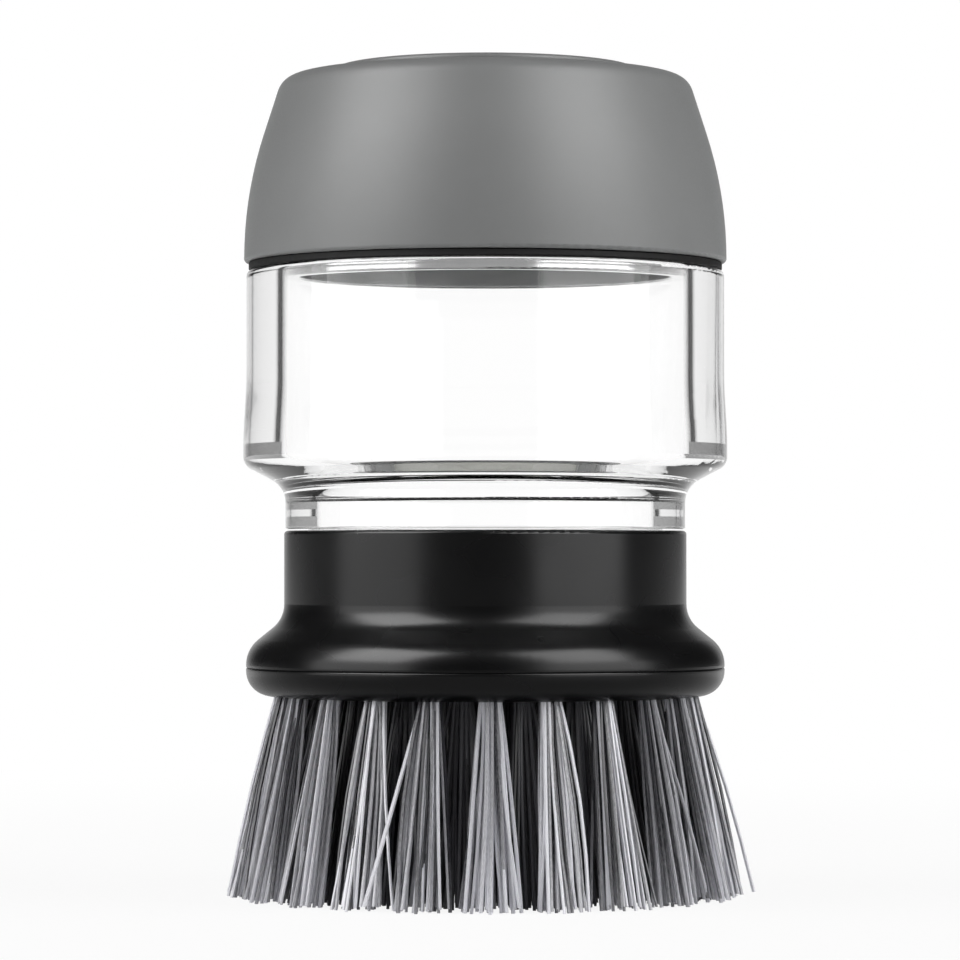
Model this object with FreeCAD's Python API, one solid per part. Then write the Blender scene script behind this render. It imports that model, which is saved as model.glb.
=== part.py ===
import FreeCAD, Part
import math
import os

# A palm brush that dispenses washing-up soap, in millimetres.
# +Z is up along the axis of the brush. The origin lies on that axis, in the plane of the
# trimmed bristle tips. The front of the brush looks along -Y.

# Clearances
running_clearance = 0.3  # between round faces that turn or slide past each other
seat_clearance = 0.1  # between round faces that are pressed or clipped together
lug_play = 0.2  # up and down between engaged lugs
edge_round = 0.3  # small moulded edges

# Twist locks: three climbing lugs on each side, one lock under the cap and one in the head
lug_count = 3
lug_span = 52.0  # degrees that one lug covers
lug_lead = 14.0  # climb of a full turn
lug_height = 0.9  # how far a lug stands out from its wall
lug_thickness = 1.4
lug_root = 0.3  # how deep a lug is rooted in its wall

# Bristles
bristle_length = 26.2  # brush face to trimmed tips
row_counts = (22, 18, 14, 9)  # tufts in each row, from the rim inwards
row_turns = (0.07, 0.62, 0.30, 0.75)  # share of a step by which each row is turned from the front
row_names = ("outer", "second", "third", "inner")
row_inset = 4.8  # rim edge to the outer row, on the brush face
row_pitch = 4.7  # row to row, on the brush face
outer_splay = 4.7  # how much further out the outer row ends at its tips
tip_pitch = 5.8  # row to row, at the tips
tip_gap_between_rows = 0.3
tip_gap_in_row = 1.5
tuft_hole_radius = 1.3
tuft_hole_depth = 5.0
tuft_clearance = 0.05  # round a tuft in its hole
anchor_width = 2.1
anchor_thickness = 0.45
anchor_height = 1.6

# Brush head
head_height = 21.7  # brush face to the top of the collar
plate_rim_height = 3.7  # brush face to the seam between plate and collar
plate_thickness = 6.8
face_round = 3.3  # rounded lower edge of the plate
seam_round = 0.2  # fine rounded edges that show the seam
upstand_inset = 3.5  # rim edge to the part of the plate that stands up inside the collar
soap_hole_radius = 5.0
collar_radius = 26.5
collar_wall = 1.9
collar_edge_round = 0.5
rim_overhang = 5.0  # how far the rim stands out from the collar
rim_rise = 2.4  # seam to the corner where the rim starts to draw in
rim_draw_angle = 51.0  # degrees from upright
rim_fillet = 4.2
waist_fillet = 4.0
head_seal_thickness = 1.2

# Reservoir
neck_inset = 0.15  # the clear neck is this much slimmer than the collar
seam_gap = 0.2  # between collar and neck
neck_height = 5.5  # foot of the neck to the corner where the base flares
base_flare_angle = 62.0  # degrees from upright
base_inner_fillet = 3.4
base_outer_fillet = 1.8
chamber_foot_rise = 7.7  # foot of the neck to the low edge of the chamber's floor
chamber_floor_angle = 81.0  # degrees from upright
chamber_corner_fillet = 1.0  # where the floor meets the bore
chamber_edge_fillet = 0.6  # where the floor drops into the neck
body_overhang = 5.15  # how far the body stands out from the neck
base_swell = 0.4  # the body is this much wider at its base
swell_start = 3.8  # base corner to where the swell starts to draw in
swell_length = 6.8
swell_fillet = 60.0
body_height = 34.1  # foot of the neck to the shoulder
body_wall = 4.8
bore_draft = 0.4
shoulder_round = 0.8
mouth_height = 6.8
mouth_wall = 1.6
spigot_wall = 1.5
spigot_foot = 3.0  # width of the rim that presses on the head seal
throat_step = 0.6  # small ledge inside the neck
throat_step_rise = 3.9  # foot of the neck to that ledge
floor_thickness = 1.9
funnel_rise = 3.0
throat_fillet = 1.0

# Outlet valve and its retainer
outlet_radius = 4.0
valve_socket_radius = 6.2
valve_boss_wall = 2.0
valve_boss_gap = 0.5  # boss to the top of the bristle plate
valve_socket_roof = 0.4
valve_flange_thickness = 1.4
valve_nozzle_radius = 3.6
valve_nozzle_drop = 1.6
valve_wall = 0.8
valve_slit_width = 0.15
valve_slit_length = 4.0
retainer_height = 2.1
retainer_recess = 0.2

# Cap
gasket_thickness = 1.0
gasket_inset = 0.3  # the gasket is this much slimmer than the reservoir
cap_height = 24.75  # lower edge of the grip to the rim of the button hole
cap_overhang = 0.3  # the grip is this much wider than the reservoir
side_corner_rise = 8.9  # lower edge to the corner from which the side leans in
side_lean = 17.9  # degrees from upright
side_fillet = 53.0
crown_slope = 2.0  # degrees from level
crown_fillet = 2.8
grip_edge_round = 0.5
grip_thickness = 1.4
grip_lip = 0.8  # grip under the lower edge of the core
core_wall = 1.8
core_skirt_wall = 0.9
core_kink_fillet = 20.0
core_crown_fillet = 1.6
core_inner_fillet = 1.5
plug_depth = 1.5  # how far the plug reaches below the shoulder of the reservoir
plug_wall = 1.9
cap_lug_rise = 2.4  # shoulder of the reservoir to the lowest end of its lugs
head_lug_drop = 8.0  # foot of the neck down to the lowest end of its lugs
deck_gap = 0.5  # mouth of the reservoir to the deck of the plug
deck_thickness = 1.8
deck_hole_radius = 11.0

# Button, plunger, spring and diaphragm
button_radius = 20.0
button_gap = 0.4  # between button and grip
button_proud = 1.1
button_crown = 0.1
button_edge_round = 0.6
button_top_thickness = 2.4
button_wall = 1.6
button_flange_width = 1.5
button_flange_thickness = 1.8
button_boss_wall = 2.0
button_boss_length = 4.5
guide_wall = 1.5
guide_length = 5.3
plunger_stem_radius = 3.0
plunger_pad_radius = 8.4
plunger_pad_thickness = 2.0
spring_gap = 2.45  # bore of the button to the outside of the spring
spring_wire_radius = 0.45
spring_turns = 5
spring_seat_gap = 0.05
diaphragm_flange_thickness = 1.4
diaphragm_wall = 0.9
diaphragm_rise = 2.2  # top of the deck to the top of the diaphragm's dome
diaphragm_top_radius = 8.6
diaphragm_fillet = 1.2
clamp_ring_height = 2.5
clamp_ring_width = 4.9

# Heights, from the tips up
face_z = bristle_length
seam_z = face_z + plate_rim_height
plate_top_z = face_z + plate_thickness
rim_corner_z = seam_z + rim_rise
waist_corner_z = rim_corner_z + rim_overhang / math.tan(math.radians(rim_draw_angle))
collar_top_z = face_z + head_height
neck_foot_z = collar_top_z + seam_gap
spigot_foot_z = plate_top_z + head_seal_thickness
valve_boss_z = plate_top_z + valve_boss_gap
retainer_z = valve_boss_z + retainer_recess
valve_flange_z = retainer_z + retainer_height
valve_socket_z = valve_flange_z + valve_flange_thickness
valve_tip_z = valve_flange_z - valve_nozzle_drop
floor_under_z = valve_socket_z + valve_socket_roof
funnel_low_z = floor_under_z + floor_thickness
funnel_high_z = funnel_low_z + funnel_rise
shoulder_z = neck_foot_z + body_height
mouth_top_z = shoulder_z + mouth_height
cap_base_z = shoulder_z + gasket_thickness
core_base_z = cap_base_z + grip_lip
side_corner_z = cap_base_z + side_corner_rise
crown_z = cap_base_z + cap_height
plug_foot_z = shoulder_z - plug_depth
deck_z = mouth_top_z + deck_gap
deck_top_z = deck_z + deck_thickness
button_top_z = crown_z + button_proud
diaphragm_top_z = deck_top_z + diaphragm_rise

# Radii, from the axis out
rim_radius = collar_radius + rim_overhang
upstand_radius = rim_radius - upstand_inset
collar_bore_radius = collar_radius - collar_wall
spigot_crest_radius = collar_bore_radius - running_clearance
spigot_radius = spigot_crest_radius - lug_height
spigot_foot_radius = spigot_radius - spigot_foot
collar_lug_radius = spigot_radius + running_clearance
throat_radius = spigot_radius - spigot_wall
neck_bore_radius = throat_radius + throat_step
neck_radius = collar_radius - neck_inset
body_radius = neck_radius + body_overhang
base_radius = body_radius + base_swell
bore_radius = body_radius - body_wall
bore_base_radius = bore_radius - bore_draft
counterbore_radius = bore_radius + lug_height
mouth_radius = counterbore_radius + mouth_wall
plug_radius = bore_radius - running_clearance
plug_bore_radius = plug_radius - plug_wall
plug_crest_radius = counterbore_radius - running_clearance
cap_radius = body_radius + cap_overhang
skirt_bore_radius = mouth_radius + running_clearance
skirt_radius = skirt_bore_radius + core_skirt_wall
deck_radius = skirt_bore_radius - seat_clearance
grip_hole_radius = button_radius + button_gap
guide_bore_radius = button_radius + running_clearance
guide_radius = guide_bore_radius + guide_wall
button_bore_radius = button_radius - button_wall
button_boss_bore_radius = plunger_stem_radius + seat_clearance
spring_radius = button_bore_radius - spring_gap - spring_wire_radius
clamp_ring_radius = plug_bore_radius - seat_clearance
clamp_ring_bore_radius = clamp_ring_radius - clamp_ring_width
diaphragm_base_radius = deck_hole_radius - running_clearance
valve_part_radius = valve_socket_radius - seat_clearance
tuft_radius = tuft_hole_radius - tuft_clearance

AXIS_FOOT = FreeCAD.Vector(0, 0, 0)
UP = FreeCAD.Vector(0, 0, 1)


def fillet_setback(last, here, following, fillet):
    # Distance from a corner to the ends of its fillet.
    half_angle = (last - here).getAngle(following - here) / 2
    return fillet / math.tan(half_angle)


def corner_arc(start, corner, end):
    # Arc that touches both sides of a corner, at two points equally far from it.
    back = start - corner
    onward = end - corner
    half_angle = back.getAngle(onward) / 2
    radius = back.Length * math.tan(half_angle)
    inward = (back.normalize() + onward.normalize()).normalize()
    middle = corner + inward * (radius / math.sin(half_angle) - radius)
    return Part.Arc(start, middle, end).toShape()


def rounded_outline(corners):
    # Closed outline in the XZ plane. A corner is (radius, height) or (radius, height, fillet),
    # and a fillet is limited by the sides that it joins.
    points = [FreeCAD.Vector(corner[0], 0, corner[1]) for corner in corners]
    count = len(points)
    setbacks = []
    for index, corner in enumerate(corners):
        following = points[(index + 1) % count]
        wanted = 0.0
        if len(corner) > 2:
            wanted = fillet_setback(points[index - 1], points[index], following, corner[2])
        setbacks.append(wanted)
    shares = [1.0] * count
    for index in range(count):
        following = (index + 1) % count
        needed = setbacks[index] + setbacks[following]
        share = (points[following] - points[index]).Length / max(needed, 1e-9)
        shares[index] = min(shares[index], share)
        shares[following] = min(shares[following], share)
    edges = []
    ends = []
    for index in range(count):
        here = points[index]
        back = (points[index - 1] - here).normalize()
        onward = (points[(index + 1) % count] - here).normalize()
        setback = setbacks[index] * shares[index]
        start = here + back * setback
        end = here + onward * setback
        ends.append((start, end))
        if setback > 0:
            edges.append(corner_arc(start, here, end))
    for index in range(count):
        start = ends[index][1]
        end = ends[(index + 1) % count][0]
        if (end - start).Length > 1e-6:
            edges.append(Part.LineSegment(start, end).toShape())
    return Part.Wire(Part.__sortEdges__(edges))


def turned(corners):
    # Solid of revolution about the axis of the brush.
    return Part.Face(rounded_outline(corners)).revolve(AXIS_FOOT, UP, 360)


def round_the_axis(shape, angle):
    copy = shape.copy()
    copy.rotate(AXIS_FOOT, UP, angle)
    return copy


def lug_ring(inner_radius, outer_radius, foot_z):
    # Right-handed climbing lugs of rectangular section, evenly spaced round the axis.
    climb = lug_lead * lug_span / 360
    path = Part.makeHelix(lug_lead, climb, (inner_radius + outer_radius) / 2)
    section = Part.makePolygon([
        FreeCAD.Vector(inner_radius, 0, 0),
        FreeCAD.Vector(outer_radius, 0, 0),
        FreeCAD.Vector(outer_radius, 0, lug_thickness),
        FreeCAD.Vector(inner_radius, 0, lug_thickness),
        FreeCAD.Vector(inner_radius, 0, 0),
    ])
    lug = path.makePipeShell([section], True, True)
    lug.translate(UP * foot_z)
    return [round_the_axis(lug, 360 * index / lug_count) for index in range(lug_count)]


# Reservoir and what stays in it

def make_reservoir():
    neck_corner_z = neck_foot_z + neck_height
    base_corner_z = neck_corner_z + (base_radius - neck_radius) / math.tan(math.radians(base_flare_angle))
    swell_z = base_corner_z + swell_start
    chamber_foot_z = neck_foot_z + chamber_foot_rise
    floor_rise = (bore_base_radius - neck_bore_radius) / math.tan(math.radians(chamber_floor_angle))
    body = turned([
        (outlet_radius, funnel_low_z),
        (outlet_radius, valve_socket_z),
        (valve_socket_radius, valve_socket_z),
        (valve_socket_radius, valve_boss_z),
        (valve_socket_radius + valve_boss_wall, valve_boss_z, edge_round),
        (valve_socket_radius + valve_boss_wall, floor_under_z, edge_round),
        (spigot_foot_radius, floor_under_z, edge_round),
        (spigot_foot_radius, spigot_foot_z),
        (spigot_radius, spigot_foot_z, edge_round),
        (spigot_radius, neck_foot_z),
        (neck_radius, neck_foot_z, edge_round),
        (neck_radius, neck_corner_z, base_inner_fillet),
        (base_radius, base_corner_z, base_outer_fillet),
        (base_radius, swell_z, swell_fillet),
        (body_radius, swell_z + swell_length, swell_fillet),
        (body_radius, shoulder_z, shoulder_round),
        (mouth_radius, shoulder_z),
        (mouth_radius, mouth_top_z, edge_round),
        (counterbore_radius, mouth_top_z, edge_round),
        (counterbore_radius, shoulder_z),
        (bore_radius, shoulder_z, edge_round),
        (bore_base_radius, chamber_foot_z + floor_rise, chamber_corner_fillet),
        (neck_bore_radius, chamber_foot_z, chamber_edge_fillet),
        (neck_bore_radius, neck_foot_z + throat_step_rise, edge_round),
        (throat_radius, neck_foot_z + throat_step_rise, edge_round),
        (throat_radius, funnel_high_z, throat_fillet),
    ])
    cap_lugs = lug_ring(bore_radius, counterbore_radius + lug_root, shoulder_z + cap_lug_rise)
    head_lugs = lug_ring(spigot_radius - lug_root, spigot_crest_radius, neck_foot_z - head_lug_drop)
    return body.fuse(cap_lugs + head_lugs)


def make_outlet_valve():
    cup = turned([
        (0, valve_tip_z),
        (valve_nozzle_radius, valve_tip_z, valve_wall),
        (valve_nozzle_radius, valve_flange_z, edge_round),
        (valve_part_radius, valve_flange_z),
        (valve_part_radius, valve_socket_z),
        (valve_nozzle_radius - valve_wall, valve_socket_z, edge_round),
        (valve_nozzle_radius - valve_wall, valve_tip_z + valve_wall, edge_round),
        (0, valve_tip_z + valve_wall),
    ])
    corner = FreeCAD.Vector(-valve_slit_length / 2, -valve_slit_width / 2, valve_tip_z - valve_wall)
    slit = Part.makeBox(valve_slit_length, valve_slit_width, 3 * valve_wall, corner)
    return cup.cut([slit, round_the_axis(slit, 90)])


def make_valve_retainer():
    bore = valve_nozzle_radius + seat_clearance
    return turned([
        (bore, retainer_z, edge_round),
        (valve_part_radius, retainer_z, edge_round),
        (valve_part_radius, valve_flange_z),
        (bore, valve_flange_z),
    ])


# Cap

def cap_line_meet(depth):
    # Corner where the leaning side and the sloping crown meet, this deep under the skin.
    lean = math.radians(side_lean)
    slope = math.radians(crown_slope)
    side_reach = cap_radius * math.cos(lean) + side_corner_z * math.sin(lean) - depth
    crown_reach = grip_hole_radius * math.sin(slope) + crown_z * math.cos(slope) - depth
    spread = math.cos(lean) * math.cos(slope) - math.sin(lean) * math.sin(slope)
    radius = (side_reach * math.cos(slope) - crown_reach * math.sin(lean)) / spread
    height = (crown_reach * math.cos(lean) - side_reach * math.sin(slope)) / spread
    return radius, height


def cap_side_height(depth, radius):
    lean = math.radians(side_lean)
    return side_corner_z + ((cap_radius - radius) * math.cos(lean) - depth) / math.sin(lean)


def cap_side_radius(depth, height):
    lean = math.radians(side_lean)
    return cap_radius - (depth + (height - side_corner_z) * math.sin(lean)) / math.cos(lean)


def cap_crown_height(depth, radius):
    slope = math.radians(crown_slope)
    return crown_z - depth / math.cos(slope) - (radius - grip_hole_radius) * math.tan(slope)


def core_outside():
    # The face that grip and core share, from the lower edge up.
    return [
        (skirt_radius, core_base_z),
        (skirt_radius, cap_side_height(grip_thickness, skirt_radius), core_kink_fillet),
        cap_line_meet(grip_thickness) + (core_crown_fillet,),
    ]


def make_cap_grip():
    return turned([
        (skirt_bore_radius, cap_base_z, edge_round),
        (cap_radius, cap_base_z, grip_edge_round),
        (cap_radius, side_corner_z, side_fillet),
        cap_line_meet(0) + (crown_fillet,),
        (grip_hole_radius, crown_z, edge_round),
        (grip_hole_radius, cap_crown_height(grip_thickness, grip_hole_radius)),
    ] + core_outside()[::-1] + [
        (skirt_bore_radius, core_base_z),
    ])


def make_cap_core():
    depth = grip_thickness + core_wall
    guide_foot_z = cap_crown_height(grip_thickness, guide_bore_radius) - guide_length
    return turned(core_outside() + [
        (guide_bore_radius, cap_crown_height(grip_thickness, guide_bore_radius), edge_round),
        (guide_bore_radius, guide_foot_z),
        (guide_radius, guide_foot_z),
        (guide_radius, cap_crown_height(depth, guide_radius), edge_round),
        cap_line_meet(depth) + (core_inner_fillet,),
        (cap_side_radius(depth, deck_top_z), deck_top_z),
        (skirt_bore_radius, deck_top_z),
        (skirt_bore_radius, core_base_z),
    ])


def make_cap_plug():
    ring = turned([
        (plug_bore_radius, plug_foot_z, edge_round),
        (plug_radius, plug_foot_z, edge_round),
        (plug_radius, deck_z, edge_round),
        (deck_radius, deck_z),
        (deck_radius, deck_top_z),
        (deck_hole_radius, deck_top_z, edge_round),
        (deck_hole_radius, deck_z, edge_round),
        (plug_bore_radius, deck_z),
    ])
    lug_z = shoulder_z + cap_lug_rise - lug_play - lug_thickness
    return ring.fuse(lug_ring(plug_radius - lug_root, plug_crest_radius, lug_z))


def make_cap_gasket():
    outside = body_radius - gasket_inset
    return turned([
        (skirt_bore_radius, shoulder_z),
        (outside, shoulder_z, seam_round),
        (outside, cap_base_z, seam_round),
        (skirt_bore_radius, cap_base_z),
    ])


def make_pump_diaphragm():
    clamp_z = deck_z - diaphragm_flange_thickness
    return turned([
        (0, diaphragm_top_z - diaphragm_wall),
        (diaphragm_top_radius - diaphragm_wall, diaphragm_top_z - diaphragm_wall, edge_round),
        (diaphragm_base_radius - diaphragm_wall, deck_z - diaphragm_wall, edge_round),
        (clamp_ring_bore_radius, deck_z - diaphragm_wall),
        (clamp_ring_bore_radius, clamp_z),
        (clamp_ring_radius, clamp_z),
        (clamp_ring_radius, deck_z),
        (diaphragm_base_radius, deck_z, edge_round),
        (diaphragm_top_radius, diaphragm_top_z, diaphragm_fillet),
        (0, diaphragm_top_z),
    ])


def make_diaphragm_ring():
    top_z = deck_z - diaphragm_flange_thickness
    return turned([
        (clamp_ring_bore_radius, top_z - clamp_ring_height, edge_round),
        (clamp_ring_radius, top_z - clamp_ring_height, edge_round),
        (clamp_ring_radius, top_z),
        (clamp_ring_bore_radius, top_z),
    ])


# Button

def button_heights():
    # Top of the flange, underside of the top and foot of the boss.
    flange_z = cap_crown_height(grip_thickness, guide_bore_radius) - guide_length
    under_z = button_top_z - button_top_thickness
    return flange_z, under_z, under_z - button_boss_length


def make_push_button():
    flange_z, under_z, boss_z = button_heights()
    flange_radius = button_radius + button_flange_width
    boss_radius = button_boss_bore_radius + button_boss_wall
    return turned([
        (0, button_top_z),
        (button_radius, button_top_z - button_crown, button_edge_round),
        (button_radius, flange_z),
        (flange_radius, flange_z),
        (flange_radius, flange_z - button_flange_thickness, edge_round),
        (button_bore_radius, flange_z - button_flange_thickness, edge_round),
        (button_bore_radius, under_z, edge_round),
        (boss_radius, under_z, edge_round),
        (boss_radius, boss_z, edge_round),
        (button_boss_bore_radius, boss_z),
        (button_boss_bore_radius, under_z),
        (0, under_z),
    ])


def make_plunger():
    under_z = button_heights()[1]
    pad_top_z = diaphragm_top_z + plunger_pad_thickness
    return turned([
        (0, under_z),
        (plunger_stem_radius, under_z, edge_round),
        (plunger_stem_radius, pad_top_z, edge_round),
        (plunger_pad_radius, pad_top_z, edge_round),
        (plunger_pad_radius, diaphragm_top_z, edge_round),
        (0, diaphragm_top_z),
    ])


def spring_spot(turn, low_z, high_z):
    # Point of the spring's helix after this many turns, and its heading there.
    angle = 2 * math.pi * turn
    climb = (high_z - low_z) / spring_turns
    out = FreeCAD.Vector(math.cos(angle), math.sin(angle), 0)
    point = out * spring_radius + UP * (low_z + climb * turn)
    heading = FreeCAD.Vector(-math.sin(angle), math.cos(angle), climb / (2 * math.pi * spring_radius))
    return point, heading.normalize()


def biarc(start, start_heading, end, end_heading):
    # Two arcs that join smoothly. The corner of each arc lies the same reach from its own end,
    # and the joint lies midway between the corners.
    span = end - start
    lean = span.dot(start_heading + end_heading)
    turn = 2 * (1 - start_heading.dot(end_heading))
    reach = (math.sqrt(lean ** 2 + turn * span.dot(span)) - lean) / turn
    first_corner = start + start_heading * reach
    last_corner = end - end_heading * reach
    joint = (first_corner + last_corner) * 0.5
    return [corner_arc(start, first_corner, joint), corner_arc(joint, last_corner, end)]


def make_return_spring():
    # One unbroken wire: biarcs of a quarter turn, from the deck up to the underside of the button.
    reach = spring_wire_radius + spring_seat_gap
    low_z = deck_top_z + reach
    high_z = button_heights()[1] - reach
    spots = [spring_spot(quarter / 4, low_z, high_z) for quarter in range(4 * spring_turns + 1)]
    edges = []
    for last, following in zip(spots, spots[1:]):
        edges += biarc(*last, *following)
    path = Part.Wire(edges)
    points = path.discretize(Distance=spring_wire_radius)
    half_turn = len(points) // spring_turns // 2
    gap = min((point - points[0]).Length for point in points[half_turn:]) - 2 * spring_wire_radius
    print("least gap between turns of the spring: %.2f mm" % gap)
    section = Part.Wire(Part.makeCircle(spring_wire_radius, *spots[0]))
    return path.makePipeShell([section], True, False)


# Brush head

def make_head_seal():
    return turned([
        (spigot_foot_radius + seat_clearance, plate_top_z),
        (spigot_radius - seat_clearance, plate_top_z),
        (spigot_radius - seat_clearance, spigot_foot_z),
        (spigot_foot_radius + seat_clearance, spigot_foot_z),
    ])


def make_brush_collar():
    shell = turned([
        (collar_bore_radius, plate_top_z),
        (upstand_radius + seat_clearance, plate_top_z),
        (upstand_radius + seat_clearance, seam_z),
        (rim_radius, seam_z, seam_round),
        (rim_radius, rim_corner_z, rim_fillet),
        (collar_radius, waist_corner_z, waist_fillet),
        (collar_radius, collar_top_z, collar_edge_round),
        (collar_bore_radius, collar_top_z, edge_round),
    ])
    lug_z = neck_foot_z - head_lug_drop + lug_thickness + lug_play
    return shell.fuse(lug_ring(collar_lug_radius, collar_bore_radius + lug_root, lug_z))


def tuft_path(row):
    # Distances from the axis on the brush face and at the tips.
    face_radius = rim_radius - row_inset - row * row_pitch
    tip_radius = rim_radius - row_inset + outer_splay - row * tip_pitch
    return face_radius, tip_radius


def oval(row, height, half_width, half_depth):
    # Level oval round the centre line of a row's front tuft, at a height.
    face_radius, tip_radius = tuft_path(row)
    out = face_radius + (tip_radius - face_radius) * (face_z - height) / bristle_length
    stretch = FreeCAD.Matrix()
    stretch.scale(half_width, half_depth, 1)
    wire = Part.Wire(Part.makeCircle(1).transformGeometry(stretch))
    wire.translate(FreeCAD.Vector(0, -out, height))
    return wire


def anchor_block(row, margin):
    # Flat strip across the bottom of the hole of a row's front tuft.
    top_z = face_z + tuft_hole_depth
    out = -oval(row, top_z - anchor_height / 2, tuft_radius, tuft_radius).BoundBox.Center.y
    width = anchor_width + 2 * margin
    thickness = anchor_thickness + 2 * margin
    corner = FreeCAD.Vector(-width / 2, -out - thickness / 2, top_z - anchor_height - margin)
    return Part.makeBox(width, thickness, anchor_height + 2 * margin, corner).cut(
        Part.makeBox(4 * width, 4 * width, width, FreeCAD.Vector(-2 * width, -out - 2 * width, top_z)))


def make_tuft(row):
    # Front tuft of a row: straight in its hole, fanning out to its flat-trimmed tips.
    tip_radius = tuft_path(row)[1]
    half_width = (2 * math.pi * tip_radius / row_counts[row] - tip_gap_in_row) / 2
    half_depth = (tip_pitch - tip_gap_between_rows) / 2
    bundle = Part.makeLoft([
        oval(row, face_z + tuft_hole_depth, tuft_radius, tuft_radius),
        oval(row, face_z, tuft_radius, tuft_radius),
        oval(row, 0, half_width, half_depth),
    ], True, True)
    return bundle.cut(anchor_block(row, tuft_clearance))


def make_tuft_hole(row):
    return Part.makeLoft([
        oval(row, face_z + tuft_hole_depth, tuft_hole_radius, tuft_hole_radius),
        oval(row, face_z - tuft_hole_radius, tuft_hole_radius, tuft_hole_radius),
    ], True, True)


def round_the_row(shape, row):
    # One copy for each tuft of a row.
    count = row_counts[row]
    return [round_the_axis(shape, 360 * (index + row_turns[row]) / count) for index in range(count)]


def make_bristle_plate():
    disc = turned([
        (soap_hole_radius, face_z, edge_round),
        (rim_radius, face_z, face_round),
        (rim_radius, seam_z, seam_round),
        (upstand_radius, seam_z),
        (upstand_radius, plate_top_z),
        (soap_hole_radius, plate_top_z, edge_round),
    ])
    holes = []
    for row in range(len(row_counts)):
        holes += round_the_row(make_tuft_hole(row), row)
    return disc.cut(holes)


def make_nodes():
    nodes = {
        "reservoir": make_reservoir(),
        "outlet_valve": make_outlet_valve(),
        "valve_retainer": make_valve_retainer(),
        "cap_gasket": make_cap_gasket(),
        "cap_grip": make_cap_grip(),
        "cap_core": make_cap_core(),
        "cap_plug": make_cap_plug(),
        "pump_diaphragm": make_pump_diaphragm(),
        "diaphragm_ring": make_diaphragm_ring(),
        "return_spring": make_return_spring(),
        "push_button": make_push_button(),
        "plunger": make_plunger(),
        "head_seal": make_head_seal(),
        "brush_collar": make_brush_collar(),
        "bristle_plate": make_bristle_plate(),
    }
    anchors = []
    for row, name in enumerate(row_names):
        tufts = round_the_row(make_tuft(row), row)
        anchors += round_the_row(anchor_block(row, 0), row)
        if row == 0:
            for index, tuft in enumerate(tufts):
                nodes["%s_tuft_%02d" % (name, index + 1)] = tuft
        else:
            nodes["%s_row_tufts" % name] = Part.makeCompound(tufts)
    nodes["tuft_anchors"] = Part.makeCompound(anchors)
    return nodes


os.makedirs("parts", exist_ok=True)
for node_name, node_shape in make_nodes().items():
    node_shape.exportStep(os.path.join("parts", node_name + ".step"))
    print("%-20s solids %2d  valid %s  volume %9.2f mm3" % (
        node_name, len(node_shape.Solids), node_shape.isValid(), node_shape.Volume))
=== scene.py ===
import bpy
import math
import numpy as np
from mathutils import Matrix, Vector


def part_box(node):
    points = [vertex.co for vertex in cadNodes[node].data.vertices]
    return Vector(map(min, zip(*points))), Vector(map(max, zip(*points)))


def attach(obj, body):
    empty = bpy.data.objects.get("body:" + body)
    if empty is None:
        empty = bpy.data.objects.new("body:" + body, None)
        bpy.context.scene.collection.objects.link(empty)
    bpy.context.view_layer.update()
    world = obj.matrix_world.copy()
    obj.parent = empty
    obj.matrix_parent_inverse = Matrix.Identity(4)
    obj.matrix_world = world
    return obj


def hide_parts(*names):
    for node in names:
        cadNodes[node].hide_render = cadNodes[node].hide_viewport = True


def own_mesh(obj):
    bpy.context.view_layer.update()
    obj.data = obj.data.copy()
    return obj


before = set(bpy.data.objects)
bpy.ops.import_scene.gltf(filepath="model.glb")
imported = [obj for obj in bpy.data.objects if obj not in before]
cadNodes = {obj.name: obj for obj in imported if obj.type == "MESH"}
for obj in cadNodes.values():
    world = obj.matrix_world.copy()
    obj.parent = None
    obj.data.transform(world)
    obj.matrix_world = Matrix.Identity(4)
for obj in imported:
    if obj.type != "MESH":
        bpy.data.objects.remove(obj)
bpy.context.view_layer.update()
print("frame loaded:", len(cadNodes), "nodes")

mm = 0.001  # every length below is in millimetres unless it says otherwise
noiseLow, noiseHigh = 0.3, 0.7  # nearly all values of a noise lie between these


# Materials

def linearColour(hexCode):
    # sRGB hex to linear: c/12.92 up to 0.04045, above that ((c + 0.055)/1.055) to the power 2.4
    channels = np.array([int(hexCode[at:at + 2], 16) for at in (1, 3, 5)]) / 255.0
    linear = np.where(channels <= 0.04045, channels / 12.92, ((channels + 0.055) / 1.055) ** 2.4)
    return (*linear.tolist(), 1.0)


def addNode(tree, kind, settings=(), inputs=()):
    # one node: settings are its properties, inputs are constants or the sockets that feed it
    node = tree.nodes.new(kind)
    for name, value in dict(settings).items():
        setattr(node, name, value)
    for name, value in dict(inputs).items():
        if isinstance(value, bpy.types.NodeSocket):
            tree.links.new(value, node.inputs[name])
        else:
            node.inputs[name].default_value = value
    return node


def startMaterial(name):
    # an empty node tree with an output and the piece's own Object coordinates in metres
    material = bpy.data.materials.new(name)
    material.use_nodes = True
    tree = material.node_tree
    tree.nodes.clear()
    output = addNode(tree, "ShaderNodeOutputMaterial")
    coords = addNode(tree, "ShaderNodeTexCoord")
    return material, tree, output, coords.outputs["Object"]


def perMetre(sizeMm):
    # texture scale whose features are about this many millimetres wide
    return 1.0 / (sizeMm * mm)


# Soft-touch TPE moulded over the cap: spark-eroded matte skin, so highlights spread into broad faint bands
gripLook = {"light": "#868787", "dark": "#808181", "cloudMm": 9.0, "cloudDetail": 3.0,
            "grainMm": 0.28, "grainDetail": 2.0, "grainRoughness": 0.6, "grainDepth": 0.012, "bumpStrength": 0.35,
            "roughLow": 0.42, "roughHigh": 0.52, "ior": 1.5, "gloss": 0.26}


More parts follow.
